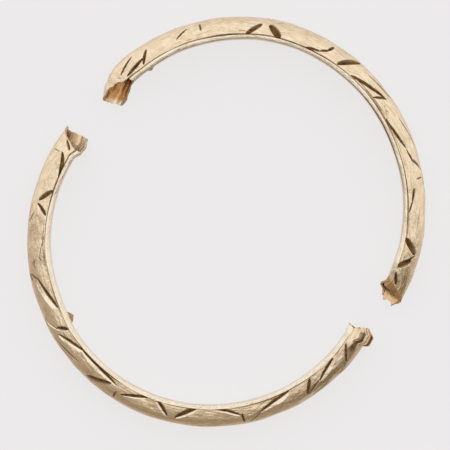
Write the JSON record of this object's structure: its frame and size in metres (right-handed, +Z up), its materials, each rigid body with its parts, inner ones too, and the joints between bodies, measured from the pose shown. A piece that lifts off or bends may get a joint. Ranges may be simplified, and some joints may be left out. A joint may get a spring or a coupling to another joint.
{
  "type": "bangle bracelet",
  "caption": "Hollow engraved gold bangle for the wrist, snipped apart and lying flat as loose curved tubes with torn, open ends.",
  "frame": {"origin": "on the surface that it lies on, under the middle of the bounding box of both halves together", "axes": "+Z up, along the bangle's own axis; +Y towards the crown of the upper half; +X to the right when seen from above"},
  "size_m": [0.0748, 0.0772, 0.0058],
  "materials": {
    "engraved_gold": "polished yellow gold, hand engraved, with fine scratches and darker cuts",
    "plain_gold": "polished yellow gold, plain, lightly worn",
    "gold_solder": "gold solder, slightly duller than the sheet"
  },
  "bodies": {
    "upper_half": {"upper_outer_shell": "engraved_gold", "upper_inner_band": "plain_gold", "upper_seam_front": "gold_solder", "upper_seam_back": "gold_solder"},
    "lower_half": {"lower_outer_shell": "engraved_gold", "lower_inner_band": "plain_gold", "lower_seam_front": "gold_solder", "lower_seam_back": "gold_solder"}
  },
  "joints": [
    {"name": "halves_apart", "type": "slide", "parent": "upper_half", "child": "lower_half", "axis": [-0.5821, -0.8131, 0], "range_m": [-0.0065, 0.035]}
  ]
}
